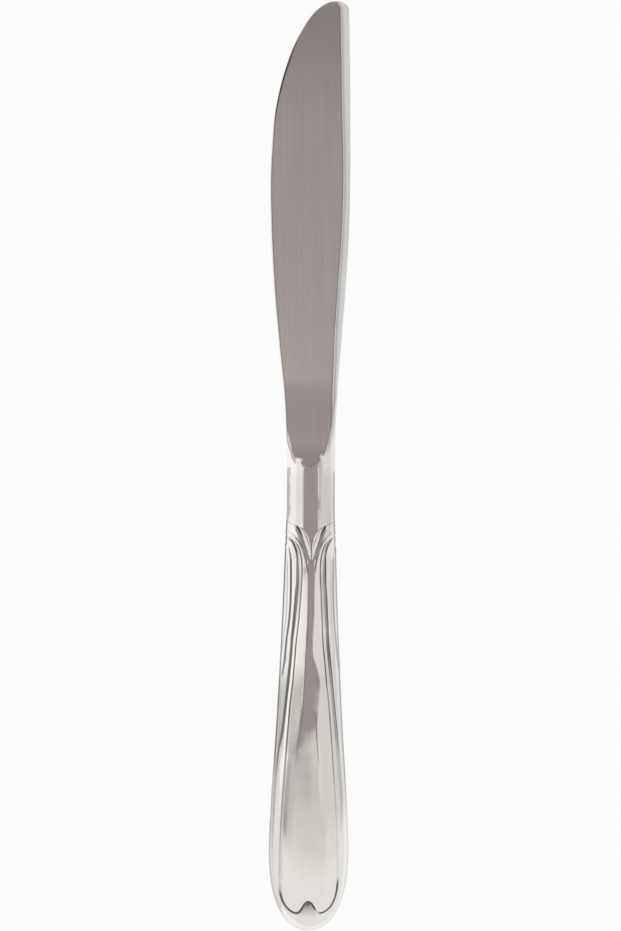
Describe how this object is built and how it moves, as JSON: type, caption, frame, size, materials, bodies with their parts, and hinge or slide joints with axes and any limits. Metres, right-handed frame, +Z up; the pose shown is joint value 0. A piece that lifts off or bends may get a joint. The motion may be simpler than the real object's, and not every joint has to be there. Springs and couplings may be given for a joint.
{
  "type": "table knife",
  "caption": "Table knife: a round-tipped satin steel blade with a polished spine and bolster, in a hollow handle with raised threads and a lobed panel.",
  "frame": {"origin": "on the surface that the knife lies on, under the middle of its bounding box", "axes": "+Y along the knife from the butt to the blade's tip, +X towards the blade's spine, -X towards its cutting edge, +Z up, square to the blade's faces"},
  "size_m": [0.0206, 0.23, 0.0104],
  "materials": {
    "blade_steel": "satin, ground along the blade, with a polished spine, edge and bolster",
    "handle_steel": "mirror polished stainless steel",
    "braze": "as flowed, inside the handle",
    "cement": "rough cast filler, inside the handle"
  },
  "bodies": {
    "root": {"blade": "blade_steel", "front_shell": "handle_steel", "back_shell": "handle_steel", "seam_braze": "braze", "tang_cement": "cement"}
  },
  "joints": []
}
